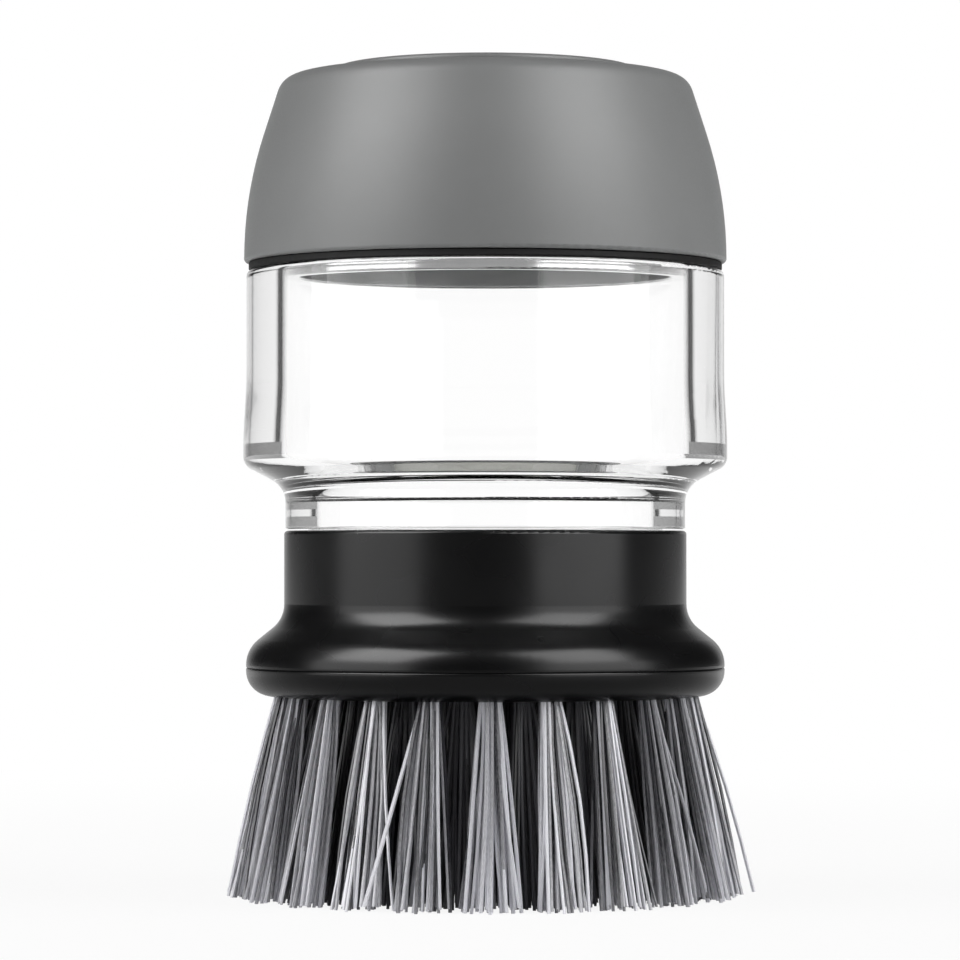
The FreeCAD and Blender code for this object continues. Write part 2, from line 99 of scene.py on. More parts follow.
def makeSoftGrip():
    # a wide cloud mixes the dark and light tones; a fine grain sets the roughness between its limits and the bump
    material, tree, output, coords = startMaterial("soft_touch_tpe")
    cloud = addNode(tree, "ShaderNodeTexNoise", {}, {
        "Vector": coords, "Scale": perMetre(gripLook["cloudMm"]), "Detail": gripLook["cloudDetail"]})
    grain = addNode(tree, "ShaderNodeTexNoise", {}, {
        "Vector": coords, "Scale": perMetre(gripLook["grainMm"]), "Detail": gripLook["grainDetail"],
        "Roughness": gripLook["grainRoughness"]})
    tint = addNode(tree, "ShaderNodeMix", {"data_type": "RGBA"}, {
        0: cloud.outputs["Fac"], 6: linearColour(gripLook["dark"]), 7: linearColour(gripLook["light"])})
    rough = addNode(tree, "ShaderNodeMapRange", {}, {
        "Value": grain.outputs["Fac"], "From Min": noiseLow, "From Max": noiseHigh,
        "To Min": gripLook["roughLow"], "To Max": gripLook["roughHigh"]})
    bump = addNode(tree, "ShaderNodeBump", {}, {
        "Height": grain.outputs["Fac"], "Strength": gripLook["bumpStrength"],
        "Distance": gripLook["grainDepth"] * mm})
    skin = addNode(tree, "ShaderNodeBsdfPrincipled", {}, {
        "Base Color": tint.outputs[2], "Roughness": rough.outputs["Result"], "IOR": gripLook["ior"],
        "Specular IOR Level": gripLook["gloss"], "Normal": bump.outputs["Normal"]})
    tree.links.new(skin.outputs["BSDF"], output.inputs["Surface"])
    return material


# Clear SAN, injection moulded and polished: thick crystal walls with faint flow waves. Painted reflections: seen
# edge-on the outer wall is painted pale grey, with a painted dark line where its inner face starts to mirror and a
# finer one near the rim, and short painted grey stripes on the body's foot and the neck where it mirrors the black
# head.
clearLook = {
    "face": "#ffffff", "glint": "#8c8c8c", "shadowTint": "#f4f5f5", "ior": 1.57,
    "waveMm": 7.0, "waveDetail": 1.0, "waveHigh": 0.8, "waveDepth": 0.006, "bumpStrength": 0.4,
    "roughLow": 0.0, "roughHigh": 0.02,
    # painted reflection tones: facing is 0 where the wall faces the viewer and 1 where seen edge-on; each tone has
    # its facing
    "facingBlend": 0.5,
    "paintedReflectionTones": ((0.0, "#ffffff"), (0.44, "#ffffff"), (0.475, "#1c1c1c"), (0.50, "#262626"), (0.525, "#eeeeee"),
                  (0.75, "#f4f4f4"), (0.775, "#808080"), (0.80, "#ececec"), (1.0, "#8a8a8a")),
    # painted head reflections: the middle and half of the height, and the tone; from the facing
    # paintedReflectionStart
    "paintedHeadReflections": ((58.1, 1.1, "#585858"), (51.1, 0.5, "#6c6c6c"), (49.0, 0.7, "#6c6c6c")), "paintedReflectionStart": 0.46,
    # the outer wall lies beyond these radii at these heights, and its normal rises by less than upright
    "neckTop": 50.0, "bodyFoot": 58.0, "neckWall": 24.0, "bodyWall": 28.5, "upright": 0.3,
}


def makeClearPlastic():
    # outer wall: upright, and its radius from the axis is above a limit that grows with height from the neck's wall
    # to the body's wall; there the painted reflection tones and stripes follow the facing, and elsewhere it is the
    # plain face tone
    material, tree, output, coords = startMaterial("clear_san")
    axes = addNode(tree, "ShaderNodeSeparateXYZ", {}, {0: coords})
    level = addNode(tree, "ShaderNodeVectorMath", {"operation": "MULTIPLY"}, {0: coords, 1: (1.0, 1.0, 0.0)})
    radius = addNode(tree, "ShaderNodeVectorMath", {"operation": "LENGTH"}, {0: level.outputs["Vector"]})
    limit = addNode(tree, "ShaderNodeMapRange", {}, {
        "Value": axes.outputs["Z"], "From Min": clearLook["neckTop"] * mm, "From Max": clearLook["bodyFoot"] * mm,
        "To Min": clearLook["neckWall"] * mm, "To Max": clearLook["bodyWall"] * mm})
    outside = addNode(tree, "ShaderNodeMath", {"operation": "GREATER_THAN"}, {
        0: radius.outputs["Value"], 1: limit.outputs["Result"]})
    surface = addNode(tree, "ShaderNodeNewGeometry")
    slant = addNode(tree, "ShaderNodeSeparateXYZ", {}, {0: surface.outputs["Normal"]})
    upright = addNode(tree, "ShaderNodeMath", {"operation": "COMPARE"}, {
        0: slant.outputs["Z"], 1: 0.0, 2: clearLook["upright"]})
    outer = addNode(tree, "ShaderNodeMath", {"operation": "MULTIPLY"}, {
        0: outside.outputs[0], 1: upright.outputs[0]})
    wave = addNode(tree, "ShaderNodeTexNoise", {}, {
        "Vector": coords, "Scale": perMetre(clearLook["waveMm"]), "Detail": clearLook["waveDetail"]})
    bump = addNode(tree, "ShaderNodeBump", {}, {
        "Height": wave.outputs["Fac"], "Strength": clearLook["bumpStrength"],
        "Distance": clearLook["waveDepth"] * mm})
    rough = addNode(tree, "ShaderNodeMapRange", {}, {
        "Value": wave.outputs["Fac"], "From Min": noiseLow, "From Max": clearLook["waveHigh"],
        "To Min": clearLook["roughLow"], "To Max": clearLook["roughHigh"]})
    # painted reflection: a ramp on the facing paints the edge-on wall pale grey with dark lines
    facing = addNode(tree, "ShaderNodeLayerWeight", {}, {"Blend": clearLook["facingBlend"]})
    edge = addNode(tree, "ShaderNodeValToRGB", {}, {"Fac": facing.outputs["Facing"]})
    for index, (place, tone) in enumerate(clearLook["paintedReflectionTones"]):
        elements = edge.color_ramp.elements
        stop = elements[index] if index < 2 else elements.new(place)
        stop.position = place
        stop.color = linearColour(tone)
    paintedReflectionFacing = addNode(tree, "ShaderNodeMath", {"operation": "GREATER_THAN"}, {
        0: facing.outputs["Facing"], 1: clearLook["paintedReflectionStart"]})
    paintedWallTone = edge.outputs["Color"]
    # painted reflections of the black head: grey stripes at given heights where the wall is seen edge-on
    for middle, half, tone in clearLook["paintedHeadReflections"]:
        within = addNode(tree, "ShaderNodeMath", {"operation": "COMPARE"}, {
            0: axes.outputs["Z"], 1: middle * mm, 2: half * mm})
        paintedStripeMask = addNode(tree, "ShaderNodeMath", {"operation": "MULTIPLY"}, {
            0: within.outputs[0], 1: paintedReflectionFacing.outputs[0]})
        paintedStripeTone = addNode(tree, "ShaderNodeMix", {"data_type": "RGBA"}, {
            0: paintedStripeMask.outputs[0], 6: paintedWallTone, 7: linearColour(tone)})
        paintedWallTone = paintedStripeTone.outputs[2]
    tint = addNode(tree, "ShaderNodeMix", {"data_type": "RGBA"}, {
        0: outer.outputs[0], 6: linearColour(clearLook["face"]), 7: paintedWallTone})
    body = addNode(tree, "ShaderNodeBsdfPrincipled", {}, {
        "Base Color": tint.outputs[2], "Roughness": rough.outputs["Result"], "IOR": clearLook["ior"],
        "Specular Tint": linearColour(clearLook["glint"]), "Transmission Weight": 1.0,
        "Normal": bump.outputs["Normal"]})
    # lamps shine straight through, so the pieces inside are lit
    lightPath = addNode(tree, "ShaderNodeLightPath")
    through = addNode(tree, "ShaderNodeBsdfTransparent", {}, {"Color": linearColour(clearLook["shadowTint"])})
    mixed = addNode(tree, "ShaderNodeMixShader", {}, {
        0: lightPath.outputs["Is Shadow Ray"], 1: body.outputs["BSDF"], 2: through.outputs["BSDF"]})
    tree.links.new(mixed.outputs["Shader"], output.inputs["Surface"])
    return material


# Black ABS, moulded in a lightly textured tool: deep black with soft semi-gloss window lights
absLook = {"light": "#09090a", "dark": "#050506", "cloudMm": 12.0, "grainMm": 0.35, "noiseDetail": 2.0,
           "grainDepth": 0.006, "bumpStrength": 0.25, "roughLow": 0.24, "roughHigh": 0.31,
           "ior": 1.53, "gloss": 0.2}


def makeBlackAbs():
    # a wide cloud mixes the tones and sets the roughness between its limits; a fine grain gives the bump
    material, tree, output, coords = startMaterial("black_abs")
    cloud = addNode(tree, "ShaderNodeTexNoise", {}, {
        "Vector": coords, "Scale": perMetre(absLook["cloudMm"]), "Detail": absLook["noiseDetail"]})
    grain = addNode(tree, "ShaderNodeTexNoise", {}, {
        "Vector": coords, "Scale": perMetre(absLook["grainMm"]), "Detail": absLook["noiseDetail"]})
    tint = addNode(tree, "ShaderNodeMix", {"data_type": "RGBA"}, {
        0: cloud.outputs["Fac"], 6: linearColour(absLook["dark"]), 7: linearColour(absLook["light"])})
    rough = addNode(tree, "ShaderNodeMapRange", {}, {
        "Value": cloud.outputs["Fac"], "From Min": noiseLow, "From Max": noiseHigh,
        "To Min": absLook["roughLow"], "To Max": absLook["roughHigh"]})
    bump = addNode(tree, "ShaderNodeBump", {}, {
        "Height": grain.outputs["Fac"], "Strength": absLook["bumpStrength"],
        "Distance": absLook["grainDepth"] * mm})
    shell = addNode(tree, "ShaderNodeBsdfPrincipled", {}, {
        "Base Color": tint.outputs[2], "Roughness": rough.outputs["Result"], "IOR": absLook["ior"],
        "Specular IOR Level": absLook["gloss"], "Normal": bump.outputs["Normal"]})
    tree.links.new(shell.outputs["BSDF"], output.inputs["Surface"])
    return material


# Nylon 612 filament, extruded and drawn: satin skin with bright lines along each strand, and a tone for each strand
greyNylonLook = {"name": "grey_nylon_filament", "light": "#eeeef4", "dark": "#2c2c32", "rough": 0.34}
# the rows get darker inwards: a dark grey second row and near-black third and inner rows
secondRowNylonLook = {"name": "second_row_nylon_filament", "light": "#606064", "dark": "#131315", "rough": 0.38}
innerRowsNylonLook = {"name": "inner_rows_nylon_filament", "light": "#2a2a2c", "dark": "#0a0a0b", "rough": 0.42}
drawnLines = {"alongMm": 6.0, "acrossMm": 0.12, "detail": 1.0, "depth": 0.01, "bumpStrength": 0.3,
              "share": 0.3, "darkAt": 0.32, "lightAt": 0.98, "ior": 1.53}


def makeNylon(look):
    # the strand's own tone with its painted tip light, plus a share of the drawn lines, spread from dark at darkAt
    # to light at lightAt
    material, tree, output, coords = startMaterial(look["name"])
    tone = addNode(tree, "ShaderNodeAttribute", {"attribute_name": "strandToneAndTipLight"})
    across = perMetre(drawnLines["acrossMm"])
    stretch = addNode(tree, "ShaderNodeMapping", {}, {
        "Vector": coords, "Scale": (across, across, perMetre(drawnLines["alongMm"]))})
    lines = addNode(tree, "ShaderNodeTexNoise", {}, {
        "Vector": stretch.outputs["Vector"], "Scale": 1.0, "Detail": drawnLines["detail"]})
    blend = addNode(tree, "ShaderNodeMath", {"operation": "MULTIPLY_ADD"}, {
        0: lines.outputs["Fac"], 1: drawnLines["share"], 2: tone.outputs["Fac"]})
    shade = addNode(tree, "ShaderNodeMapRange", {}, {
        "Value": blend.outputs[0], "From Min": drawnLines["darkAt"], "From Max": drawnLines["lightAt"]})
    tint = addNode(tree, "ShaderNodeMix", {"data_type": "RGBA"}, {
        0: shade.outputs["Result"], 6: linearColour(look["dark"]), 7: linearColour(look["light"])})
    bump = addNode(tree, "ShaderNodeBump", {}, {
        "Height": lines.outputs["Fac"], "Strength": drawnLines["bumpStrength"],
        "Distance": drawnLines["depth"] * mm})
    strand = addNode(tree, "ShaderNodeBsdfPrincipled", {}, {
        "Base Color": tint.outputs[2], "Roughness": look["rough"], "IOR": drawnLines["ior"],
        "Normal": bump.outputs["Normal"]})
    tree.links.new(strand.outputs["BSDF"], output.inputs["Surface"])
    return material


# Plain moulded and metal pieces inside, each with its own tone, grain and gloss
innerLooks = {
    # a dull, slightly waxy grey
    "grey_polypropylene": {"light": "#8e8f8f", "dark": "#838484", "grainMm": 0.6, "depth": 0.006,
                           "rough": (0.36, 0.46), "metal": 0.0, "ior": 1.49, "coat": 0.0, "stretch": 1.0},
    # a darker grey that mirrors the windows through the clear wall
    "lacquered_grey_polypropylene": {"light": "#6a6b6b", "dark": "#636464", "grainMm": 3.0, "depth": 0.002,
                                     "rough": (0.10, 0.14), "metal": 0.0, "ior": 1.6, "coat": 1.0, "stretch": 1.0},
    # a flat black that swallows light
    "black_nitrile_rubber": {"light": "#0a0a0a", "dark": "#050505", "grainMm": 0.4, "depth": 0.01,
                             "rough": (0.62, 0.75), "metal": 0.0, "ior": 1.3, "coat": 0.0, "stretch": 1.0},
    # a milky white with a soft sheen
    "clear_silicone": {"light": "#dcdcd6", "dark": "#cbcbc5", "grainMm": 0.8, "depth": 0.006,
                       "rough": (0.34, 0.42), "metal": 0.0, "ior": 1.41, "coat": 0.0, "stretch": 1.0},
    # a bright metal with fine upright marks
    "drawn_spring_steel": {"light": "#c6c8ca", "dark": "#a9abad", "grainMm": 0.3, "depth": 0.004,
                           "rough": (0.2, 0.3), "metal": 1.0, "ior": 1.5, "coat": 0.0, "stretch": 0.2},
    # a warm, scratched glint
    "sheared_brass_strip": {"light": "#d4b26a", "dark": "#b9954f", "grainMm": 0.2, "depth": 0.004,
                            "rough": (0.28, 0.42), "metal": 1.0, "ior": 1.5, "coat": 0.0, "stretch": 0.3},
}
innerGrain = {"detail": 2.0, "bumpStrength": 0.3}
lacquer = {"ior": 2.6, "rough": 0.16}


def makeInner(name):
    # grain noise drives the tone, the gloss and a shallow bump; stretch below 1 draws the grain out upwards
    look = innerLooks[name]
    material, tree, output, coords = startMaterial(name)
    scale = perMetre(look["grainMm"])
    stretch = addNode(tree, "ShaderNodeMapping", {}, {
        "Vector": coords, "Scale": (scale, scale, scale * look["stretch"])})
    grain = addNode(tree, "ShaderNodeTexNoise", {}, {
        "Vector": stretch.outputs["Vector"], "Scale": 1.0, "Detail": innerGrain["detail"]})
    tint = addNode(tree, "ShaderNodeMix", {"data_type": "RGBA"}, {
        0: grain.outputs["Fac"], 6: linearColour(look["dark"]), 7: linearColour(look["light"])})
    rough = addNode(tree, "ShaderNodeMapRange", {}, {
        "Value": grain.outputs["Fac"], "From Min": noiseLow, "From Max": noiseHigh,
        "To Min": look["rough"][0], "To Max": look["rough"][1]})
    bump = addNode(tree, "ShaderNodeBump", {}, {
        "Height": grain.outputs["Fac"], "Strength": innerGrain["bumpStrength"], "Distance": look["depth"] * mm})
    body = addNode(tree, "ShaderNodeBsdfPrincipled", {}, {
        "Base Color": tint.outputs[2], "Roughness": rough.outputs["Result"], "Metallic": look["metal"],
        "IOR": look["ior"], "Coat Weight": look["coat"], "Coat IOR": lacquer["ior"],
        "Coat Roughness": lacquer["rough"], "Normal": bump.outputs["Normal"]})
    tree.links.new(body.outputs["BSDF"], output.inputs["Surface"])
    return material


softGrip = makeSoftGrip()
clearPlastic = makeClearPlastic()
blackAbs = makeBlackAbs()
greyNylon = makeNylon(greyNylonLook)
secondRowNylon = makeNylon(secondRowNylonLook)
innerRowsNylon = makeNylon(innerRowsNylonLook)
inner = {name: makeInner(name) for name in innerLooks}
print("materials made:", len(bpy.data.materials))


# CAD pieces that stay as they are, with their finishes
cadFinish = {
    "cap_grip": softGrip, "push_button": softGrip,
    "reservoir": clearPlastic,
    "brush_collar": blackAbs, "bristle_plate": blackAbs, "valve_retainer": blackAbs,
    "cap_core": inner["grey_polypropylene"], "cap_plug": inner["lacquered_grey_polypropylene"],
    "diaphragm_ring": inner["grey_polypropylene"], "plunger": inner["grey_polypropylene"],
    "cap_gasket": inner["black_nitrile_rubber"], "head_seal": inner["black_nitrile_rubber"],
    "outlet_valve": inner["clear_silicone"],
    "tuft_anchors": inner["sheared_brass_strip"],
}
for nodeName, finish in cadFinish.items():
    for materialSlot in cadNodes[nodeName].material_slots:
        materialSlot.material = finish
print("CAD pieces finished:", len(cadFinish))


# New pieces

sharpAngle = 50.0  # degrees: edges that turn by more than this stay sharp


def buildPiece(name, points, faceGroups, material, body, slotName, *replaced):
    # mesh from one array of points (mm) and groups of faces, a group holding one row of point numbers for each face
    mesh = bpy.data.meshes.new(name)
    corners = np.concatenate([group.ravel() for group in faceGroups]).astype(np.int32)
    sizes = np.concatenate([np.full(len(group), group.shape[1]) for group in faceGroups])
    mesh.vertices.add(len(points))
    mesh.vertices.foreach_set("co", (points * mm).astype(np.float32).ravel())
    mesh.loops.add(len(corners))
    mesh.loops.foreach_set("vertex_index", corners)
    mesh.polygons.add(len(sizes))
    mesh.polygons.foreach_set("loop_start", (np.cumsum(sizes) - sizes).astype(np.int32))
    mesh.update(calc_edges=True)
    mesh.shade_smooth()
    mesh.set_sharp_from_angle(angle=math.radians(sharpAngle))
    mesh.materials.append(material)
    piece = bpy.data.objects.new(name, mesh)
    bpy.context.scene.collection.objects.link(piece)
    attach(piece, body)
    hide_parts(*replaced)
    return piece


def tubeFaces(strands, rings, sides):
    # strands of rings by sides points: quads join each ring to the next, and one face closes each end
    first = np.arange(strands)[:, None, None] * rings * sides
    ring = np.arange(rings - 1)[None, :, None] * sides
    side = np.arange(sides)[None, None, :]
    onward = (side + 1) % sides
    quads = np.stack([first + ring + side, first + ring + sides + side,
                      first + ring + sides + onward, first + ring + onward], axis=-1).reshape(-1, 4)
    starts = np.arange(strands)[:, None] * rings * sides + np.arange(sides)[None, :]
    ends = starts[:, ::-1] + (rings - 1) * sides
    return [quads, starts, ends]


# Bristle tufts: rows from the rim inwards, with the same places as the holes of the bristle plate
tuftRows = {
    "faceHeight": 26.2, "rootDepth": 2.0,
    "rows": (
        # turn is the share of a step by which the row is turned, so that no gap runs straight through the rows
        {"name": "outer", "count": 22, "turn": 0.07, "faceRadius": 26.7, "tipRadius": 31.4, "tipHalfWidth": 3.7,
         "nylon": greyNylon},
        {"name": "second", "count": 18, "turn": 0.62, "faceRadius": 22.0, "tipRadius": 25.6, "tipHalfWidth": 3.7,
         "nylon": secondRowNylon},
        {"name": "third", "count": 14, "turn": 0.30, "faceRadius": 17.3, "tipRadius": 19.8, "tipHalfWidth": 3.7,
         "nylon": innerRowsNylon},
        {"name": "inner", "count": 9, "turn": 0.75, "faceRadius": 12.6, "tipRadius": 14.0, "tipHalfWidth": 4.1,
         "nylon": innerRowsNylon},
    ),
    "tipHalfDepth": 2.7, "rootSpread": 1.12,
    "strands": 38, "strandRadius": 0.235, "radiusVary": 0.03, "sides": 6, "rings": 5,
    "tipJitter": 0.34, "strayShare": 0.09, "strayReach": 1.5, "bow": 0.28,
    # the powers gather most tips near the lowest and keep the painted light, a paler tone, to the last part of a
    # strand
    "tipRagged": 0.75, "raggedPower": 1.6, "tipPaintedLight": 0.25, "paintedLightPower": 3, "seed": 2207,
}


def tuftStrands(row, turns, rng):
    # A strand runs from its place in the hole's disc to the same place in the wider oval at the tips, with a small
    # sideways bow: centre(t) = root + (tip - root) t + bow sin(pi t). Places fill the disc by the golden angle.
    look = tuftRows
    count = look["strands"]
    step = np.arange(count) + 0.5
    reach = np.sqrt(step / count)
    turn = step * math.pi * (3.0 - math.sqrt(5.0))
    shape = (len(turns), count)
    spin = rng.uniform(0.0, 2.0 * math.pi, (len(turns), 1))
    across = reach * np.cos(turn + spin)
    depth = reach * np.sin(turn + spin)
    stray = np.where(rng.random(shape) < look["strayShare"], look["strayReach"], 0.0)
    jitter = rng.normal(0.0, 1.0, (2, *shape)) * (look["tipJitter"] + stray)
    t = np.linspace(0.0, 1.0, look["rings"])[None, None, :]
    topZ = look["faceHeight"] + look["rootDepth"]
    lean = (row["tipRadius"] - row["faceRadius"]) / look["faceHeight"]
    rootOut = row["faceRadius"] - lean * look["rootDepth"] + look["rootSpread"] * depth
    tipOut = row["tipRadius"] + look["tipHalfDepth"] * depth + jitter[1]
    rootSide = look["rootSpread"] * across
    tipSide = row["tipHalfWidth"] * across + jitter[0]
    tipZ = look["tipRagged"] * rng.random(shape) ** look["raggedPower"]
    bow = rng.normal(0.0, look["bow"], (2, *shape))
    sway = np.sin(math.pi * t)
    out = rootOut[..., None] + (tipOut - rootOut)[..., None] * t + bow[0][..., None] * sway
    side = rootSide[..., None] + (tipSide - rootSide)[..., None] * t + bow[1][..., None] * sway
    height = topZ + (tipZ[..., None] - topZ) * t
    # each ring is level, a circle of the strand's radius
    angle = np.linspace(0.0, 2.0 * math.pi, look["sides"], endpoint=False)
    radius = look["strandRadius"] + rng.normal(0.0, look["radiusVary"], shape)
    ringSide = side[..., None] + radius[..., None, None] * np.cos(angle)
    ringOut = -out[..., None] + radius[..., None, None] * np.sin(angle)
    ringZ = np.broadcast_to(height[..., None], ringSide.shape)
    cosTurn = np.cos(turns)[:, None, None, None]
    sinTurn = np.sin(turns)[:, None, None, None]
    points = np.stack([ringSide * cosTurn - ringOut * sinTurn,
                       ringSide * sinTurn + ringOut * cosTurn, ringZ], axis=-1)
    # painted light and shade: strands are painted paler towards their lit tips than at their shaded roots
    tone = rng.random(shape)[..., None] + look["tipPaintedLight"] * t ** look["paintedLightPower"]
    tone = np.broadcast_to(tone[..., None], ringSide.shape)
    return points.reshape(len(turns), -1, 3), tone.reshape(len(turns), -1)


def makeTuftPiece(name, points, tone, material, slotName, node):
    # one piece of many strands; each point carries its tone with the painted tip light, which the nylon reads
    strands = len(points) // (tuftRows["rings"] * tuftRows["sides"])
    faces = tubeFaces(strands, tuftRows["rings"], tuftRows["sides"])
    piece = buildPiece(name, points, faces, material, "head", slotName, node)
    shade = piece.data.attributes.new("strandToneAndTipLight", "FLOAT", "POINT")
    shade.data.foreach_set("value", tone.astype(np.float32))


rng = np.random.default_rng(tuftRows["seed"])
for row in tuftRows["rows"]:
    turns = 2.0 * math.pi * (np.arange(row["count"]) + row["turn"]) / row["count"]
    points, tone = tuftStrands(row, turns, rng)
    if row["name"] == "outer":
        for index in range(row["count"]):
            makeTuftPiece("outer_tuft_%02d_strands" % (index + 1), points[index], tone[index], row["nylon"],
                          "grey_nylon", "outer_tuft_%02d" % (index + 1))
    else:
        makeTuftPiece("%s_row_strands" % row["name"], points.reshape(-1, 3), tone.reshape(-1), row["nylon"],
                      "dark_nylon", "%s_row_tufts" % row["name"])
print("bristles made:", sum(row["count"] for row in tuftRows["rows"]), "tufts")


pressTravel = 4.5  # how far the button goes down

# Return spring: one wire from the deck of the plug up to the underside of the button
springLow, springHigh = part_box("return_spring")
springLook = {"radius": 15.5, "wireRadius": 0.45, "turns": 5.0, "stepsPerTurn": 40, "sides": 10, "seat": 91.3,
              "press": pressTravel}
springLook["foot"] = springLow[2] / mm + springLook["wireRadius"]
springLook["top"] = springHigh[2] / mm - springLook["wireRadius"]


def makeSpring():
    # Helix centre(t) = (R cos 2 pi n t, R sin 2 pi n t, foot + climb t); the wire's circle lies in the plane of the
    # outward direction and the upward direction squared to the helix
    look = springLook
    t = np.linspace(0.0, 1.0, int(look["turns"] * look["stepsPerTurn"]) + 1)
    angle = 2.0 * math.pi * look["turns"] * t
    out = np.stack([np.cos(angle), np.sin(angle), np.zeros_like(angle)], axis=-1)
    centre = look["radius"] * out
    centre[:, 2] = look["foot"] + (look["top"] - look["foot"]) * t
    ahead = np.gradient(centre, axis=0)
    ahead /= np.linalg.norm(ahead, axis=1, keepdims=True)
    up = np.cross(out, ahead)
    around = np.linspace(0.0, 2.0 * math.pi, look["sides"], endpoint=False)
    ring = np.cos(around)[None, :, None] * out[:, None, :] + np.sin(around)[None, :, None] * up[:, None, :]
    points = (centre[:, None, :] + look["wireRadius"] * ring).reshape(-1, 3)
    faces = [group[:, ::-1] for group in tubeFaces(1, len(t), look["sides"])]
    spring = buildPiece("return_spring_wire", points, faces, inner["drawn_spring_steel"], "cap", "spring_steel",
                        "return_spring")
    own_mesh(spring)


makeSpring()


# Pump diaphragm: a turned silicone hat, clamped under the deck and pressed down by the plunger
diaphragmLook = {
    # corners: radius, height and fillet
    "corners": ((0.0, 93.5, 0.0), (8.6, 93.5, 1.2), (10.7, 89.5, 0.3), (24.4, 89.5, 0.2), (24.4, 88.1, 0.2),
                (19.5, 88.1, 0.2), (19.5, 88.6, 0.1), (9.8, 88.6, 0.3), (7.7, 92.6, 0.3), (0.0, 92.6, 0.0)),
    "arcSteps": 7, "segments": 96, "clamp": 88.1, "press": pressTravel,
}


def roundedProfile(corners, arcSteps):
    # A fillet f at a corner of half angle h starts f/tan(h) before the corner, and its points turn about a centre
    # that lies f/sin(h) along the bisector.
    spots = np.array(corners, float)
    here, fillet = spots[1:-1, :2], spots[1:-1, 2]
    back = spots[:-2, :2] - here
    onward = spots[2:, :2] - here
    back /= np.linalg.norm(back, axis=1, keepdims=True)
    onward /= np.linalg.norm(onward, axis=1, keepdims=True)
    half = np.arccos(np.clip((back * onward).sum(axis=1), -1.0, 1.0)) / 2.0
    start = here + back * (fillet / np.tan(half))[:, None]
    bisector = back + onward
    bisector /= np.linalg.norm(bisector, axis=1, keepdims=True)
    centre = here + bisector * (fillet / np.sin(half))[:, None]
    spoke = start - centre
    sweep = np.sign(back[:, 1] * onward[:, 0] - back[:, 0] * onward[:, 1]) * (math.pi - 2.0 * half)
    angle = sweep[:, None] * np.linspace(0.0, 1.0, arcSteps)[None, :]
    arc = np.stack([spoke[:, None, 0] * np.cos(angle) - spoke[:, None, 1] * np.sin(angle),
                    spoke[:, None, 0] * np.sin(angle) + spoke[:, None, 1] * np.cos(angle)], axis=-1)
    arc = (centre[:, None, :] + arc).reshape(-1, 2)
    return np.concatenate([spots[:1, :2], arc, spots[-1:, :2]])


def turnedFromPoles(profile, segments):
    # surface of revolution whose profile starts and ends on the axis: rings of points with a fan at each pole
    rings = profile[1:-1]
    angle = np.linspace(0.0, 2.0 * math.pi, segments, endpoint=False)
    body = np.stack([rings[:, :1] * np.cos(angle), rings[:, :1] * np.sin(angle),
                     np.broadcast_to(rings[:, 1:], (len(rings), segments))], axis=-1).reshape(-1, 3)
    poles = np.array([[0.0, 0.0, profile[0, 1]], [0.0, 0.0, profile[-1, 1]]])
    points = np.concatenate([body, poles])
    quads = tubeFaces(1, len(rings), segments)[0]
    side = np.arange(segments)
    onward = (side + 1) % segments
    last = (len(rings) - 1) * segments
    topFan = np.stack([np.full(segments, len(body)), side, onward], axis=-1)
    lowFan = np.stack([np.full(segments, len(body) + 1), last + onward, last + side], axis=-1)
    return points, [quads, topFan, lowFan]


def makeDiaphragm():
    # the rounded profile turned about the axis
    look = diaphragmLook
    profile = roundedProfile(look["corners"], look["arcSteps"])
    points, faces = turnedFromPoles(profile, look["segments"])
    diaphragm = buildPiece("pump_diaphragm_hat", points, faces, inner["clear_silicone"], "cap", "clear_silicone",
                           "pump_diaphragm")
    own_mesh(diaphragm)


makeDiaphragm()
print("spring and diaphragm made")


# Studio: pale floor, white surround, two softboxes that light matte surfaces, four windows that gloss mirrors, and
# a camera at the photograph's angle. Lengths here are in metres.
studio = {
    "floorSize": 6.0, "floorOwnLight": 0.90, "shadowStart": 0.05, "shadowReach": 0.35, "paper": "#fbfbfb",
    # lamps: degrees round from the camera and up from level, distance, width and height, brightness, rays lit
    "lamps": (
        ("left_softbox", -78.0, 28.0, 0.80, 0.62, 0.80, 2.3, "matte"),
        ("right_softbox", 76.0, 28.0, 0.80, 0.62, 0.80, 2.3, "matte"),
        ("left_low_window", -63.0, 5.0, 0.70, 0.70, 0.40, 3.4, "gloss and glass"),
        ("right_low_window", 55.0, 5.0, 0.70, 0.74, 0.40, 4.0, "gloss and glass"),
        ("left_high_window", -61.0, 41.0, 0.80, 0.60, 0.58, 12.0, "gloss"),
        ("right_high_window", 53.0, 41.0, 0.80, 0.60, 0.58, 9.2, "gloss"),
    ),
    "lampAim": 0.055, "fill": 0.27, "mirrorFront": 0.05, "mirrorBack": 1.0, "mirrorFloor": 0.5,
    # the white sheet behind the brush, by the backward part of a ray's direction: where it starts and is full
    "sheetStart": 0.86, "sheetFull": 0.99,
    "cameraPlace": (-0.0007, -0.600, 0.0447), "cameraAim": (-0.0007, 0.0, 0.0546), "lensMm": 170.6,
    "sensorMm": 36.0, "clipNear": 0.01, "clipFar": 50.0,
}


def seenDirectly(tree):
    # first 1 for camera and transmission rays, then 1 for rays that come from a mirroring surface alone
    lightPath = addNode(tree, "ShaderNodeLightPath")
    direct = addNode(tree, "ShaderNodeMath", {"operation": "MAXIMUM"}, {
        0: lightPath.outputs["Is Camera Ray"], 1: lightPath.outputs["Is Transmission Ray"]})
    mirrored = addNode(tree, "ShaderNodeMath", {"operation": "SUBTRACT", "use_clamp": True}, {
        0: lightPath.outputs["Is Glossy Ray"], 1: direct.outputs[0]})
    return direct.outputs[0], mirrored.outputs[0]


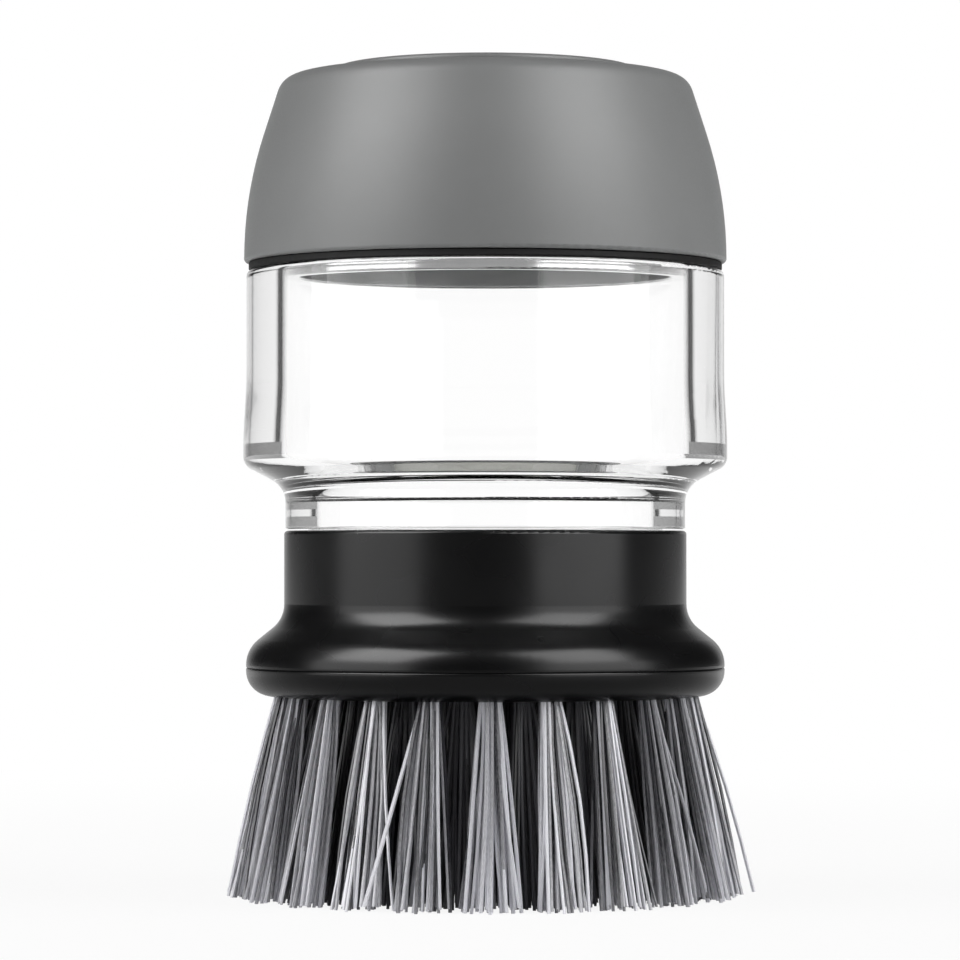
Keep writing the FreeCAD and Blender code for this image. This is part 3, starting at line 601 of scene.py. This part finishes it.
def makeFloor():
    # lit paper; for rays that see or mirror it, a white glow takes a share that grows from floorOwnLight at
    # shadowStart to all of it at shadowReach
    material, tree, output, coords = startMaterial("white_sweep")
    direct, mirrored = seenDirectly(tree)
    seen = addNode(tree, "ShaderNodeMath", {"operation": "MAXIMUM"}, {0: direct, 1: mirrored})
    # the floor keeps the shadow near the brush and runs out to plain white away from it
    away = addNode(tree, "ShaderNodeVectorMath", {"operation": "LENGTH"}, {0: coords})
    fade = addNode(tree, "ShaderNodeMapRange", {"interpolation_type": "SMOOTHSTEP"}, {
        "Value": away.outputs["Value"], "From Min": studio["shadowStart"], "From Max": studio["shadowReach"],
        "To Min": studio["floorOwnLight"], "To Max": 1.0})
    share = addNode(tree, "ShaderNodeMath", {"operation": "MULTIPLY"}, {
        0: seen.outputs[0], 1: fade.outputs["Result"]})
    paper = addNode(tree, "ShaderNodeBsdfDiffuse", {}, {"Color": linearColour(studio["paper"])})
    # gloss mirrors the floor dimmer in front of the brush, as it does the room
    axes = addNode(tree, "ShaderNodeSeparateXYZ", {}, {0: coords})
    ground = addNode(tree, "ShaderNodeMapRange", {"interpolation_type": "SMOOTHSTEP"}, {
        "Value": axes.outputs["Y"], "From Min": 0.0, "From Max": studio["shadowReach"],
        "To Min": studio["mirrorFloor"], "To Max": 1.0})
    level = addNode(tree, "ShaderNodeMix", {"data_type": "FLOAT"}, {
        0: mirrored, 2: 1.0, 3: ground.outputs["Result"]})
    glow = addNode(tree, "ShaderNodeEmission", {}, {
        "Color": linearColour("#ffffff"), "Strength": level.outputs[0]})
    mixed = addNode(tree, "ShaderNodeMixShader", {}, {
        0: share.outputs[0], 1: paper.outputs["BSDF"], 2: glow.outputs["Emission"]})
    tree.links.new(mixed.outputs["Shader"], output.inputs["Surface"])
    half = studio["floorSize"] / 2.0
    mesh = bpy.data.meshes.new("studio_floor")
    corners = [(-half, -half, 0.0), (half, -half, 0.0), (half, half, 0.0), (-half, half, 0.0)]
    mesh.from_pydata(corners, [], [(0, 1, 2, 3)])
    mesh.materials.append(material)
    floor = bpy.data.objects.new("studio_floor", mesh)
    bpy.context.scene.collection.objects.link(floor)


def makeWorld():
    # plain white where it is seen directly; for matte surfaces the even fill, and for gloss a room of its own
    world = bpy.data.worlds.new("white_studio")
    world.use_nodes = True
    tree = world.node_tree
    tree.nodes.clear()
    output = addNode(tree, "ShaderNodeOutputWorld")
    direct, mirrored = seenDirectly(tree)
    # what gloss mirrors: a dim room, and straight behind the brush the white sheet
    coords = addNode(tree, "ShaderNodeTexCoord")
    axes = addNode(tree, "ShaderNodeSeparateXYZ", {}, {0: coords.outputs["Generated"]})
    room = addNode(tree, "ShaderNodeMapRange", {"interpolation_type": "SMOOTHSTEP"}, {
        "Value": axes.outputs["Y"], "From Min": studio["sheetStart"], "From Max": studio["sheetFull"],
        "To Min": studio["mirrorFront"], "To Max": studio["mirrorBack"]})
    level = addNode(tree, "ShaderNodeMix", {"data_type": "FLOAT"}, {
        0: mirrored, 2: studio["fill"], 3: room.outputs["Result"]})
    soft = addNode(tree, "ShaderNodeBackground", {}, {
        "Color": linearColour("#ffffff"), "Strength": level.outputs[0]})
    white = addNode(tree, "ShaderNodeBackground", {}, {"Color": linearColour("#ffffff"), "Strength": 1.0})
    mixed = addNode(tree, "ShaderNodeMixShader", {}, {
        0: direct, 1: soft.outputs["Background"], 2: white.outputs["Background"]})
    tree.links.new(mixed.outputs["Shader"], output.inputs["Surface"])
    bpy.context.scene.world = world


def makeLamp(name, azimuth, elevation, distance, width, tall, brightness, rays):
    # area lamp that faces the brush; its power is brightness times pi times its area. A matte lamp lights matte
    # surfaces only; the others are mirrored by gloss only, or seen through glass as well.
    lamp = bpy.data.lights.new(name, "AREA")
    lamp.shape = "RECTANGLE"
    lamp.size = width
    lamp.size_y = tall
    lamp.energy = brightness * math.pi * width * tall
    box = bpy.data.objects.new(name, lamp)
    turn = math.radians(azimuth)
    rise = math.radians(elevation)
    level = distance * math.cos(rise)
    height = studio["lampAim"] + distance * math.sin(rise)
    box.location = (level * math.sin(turn), -level * math.cos(turn), height)
    box.rotation_euler = (math.radians(90.0) - rise, 0.0, turn)
    box.visible_camera = False
    box.visible_diffuse = rays == "matte"
    box.visible_glossy = rays != "matte"
    box.visible_transmission = rays == "gloss and glass"
    bpy.context.scene.collection.objects.link(box)


def makeCamera():
    # turned from its place to its aim: the tilt is the angle of the rise over the level distance
    lens = bpy.data.cameras.new("photo_camera")
    lens.lens = studio["lensMm"]
    lens.sensor_width = studio["sensorMm"]
    lens.clip_start = studio["clipNear"]
    lens.clip_end = studio["clipFar"]
    camera = bpy.data.objects.new("photo_camera", lens)
    place = np.array(studio["cameraPlace"])
    ahead = np.array(studio["cameraAim"]) - place
    camera.location = place.tolist()
    tilt = math.atan2(ahead[2], math.hypot(ahead[0], ahead[1]))
    camera.rotation_euler = (math.radians(90.0) + tilt, 0.0, math.atan2(-ahead[0], ahead[1]))
    bpy.context.scene.collection.objects.link(camera)
    bpy.context.scene.camera = camera


makeFloor()
makeWorld()
for lampLook in studio["lamps"]:
    makeLamp(*lampLook)
makeCamera()
bpy.context.scene.view_settings.view_transform = "Standard"
print("studio ready")

bpy.context.view_layer.update()
